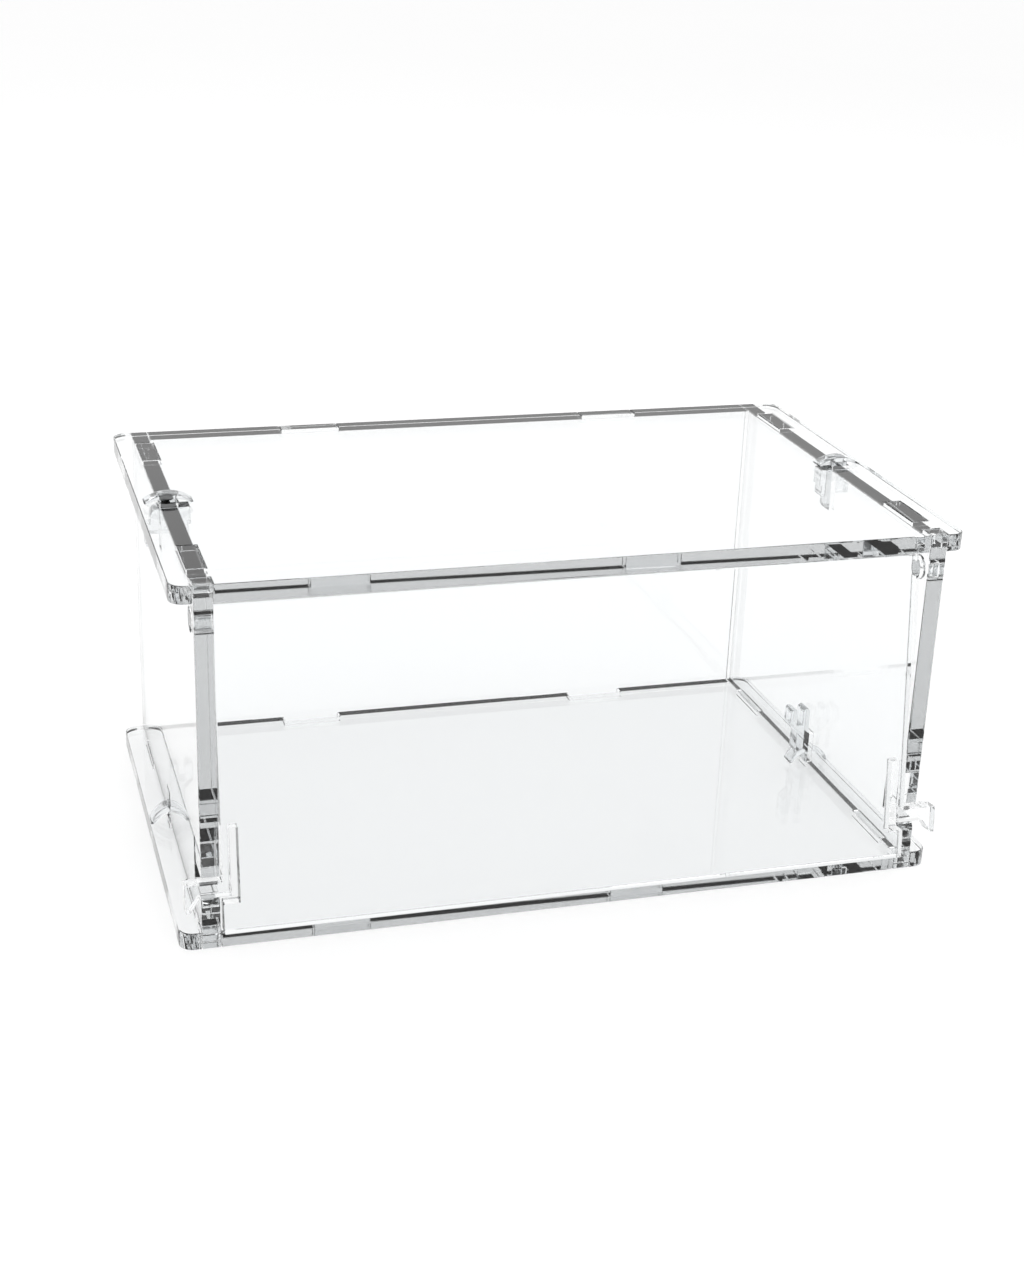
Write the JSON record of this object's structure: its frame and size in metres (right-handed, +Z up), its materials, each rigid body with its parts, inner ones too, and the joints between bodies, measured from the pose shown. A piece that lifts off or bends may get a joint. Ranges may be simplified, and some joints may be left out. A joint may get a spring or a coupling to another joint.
{
  "type": "clear storage box with lid",
  "caption": "Clear sheet storage box with a lift-off lid held by snap clips and a front door that swings up on stub pivots.",
  "frame": {"origin": "middle of the base plate's underside, on the surface the box stands on", "axes": "+Z up; -Y towards the front door; +X to the right seen from the front"},
  "size_m": [0.22, 0.141, 0.1064],
  "materials": {
    "clear_sheet": "clear polished",
    "clear_clip": "clear polished"
  },
  "bodies": {
    "box": {"base_plate": "clear_sheet", "left_wall": "clear_sheet", "right_wall": "clear_sheet", "back_panel": "clear_sheet", "bottom_left_clip": "clear_clip", "bottom_right_clip": "clear_clip"},
    "lid": {"lid_plate": "clear_sheet", "top_left_clip": "clear_clip", "top_right_clip": "clear_clip"},
    "door": {"front_door": "clear_sheet"}
  },
  "joints": [
    {"name": "lid_lift", "type": "slide", "parent": "box", "child": "lid", "axis": [0, 0, 1], "range_m": [0, 0.06]},
    {"name": "door_hinge", "type": "hinge", "parent": "box", "child": "door", "pos_m": [0, -0.06, 0.092], "axis": [-1, 0, 0], "range_deg": [-7, 100]}
  ]
}
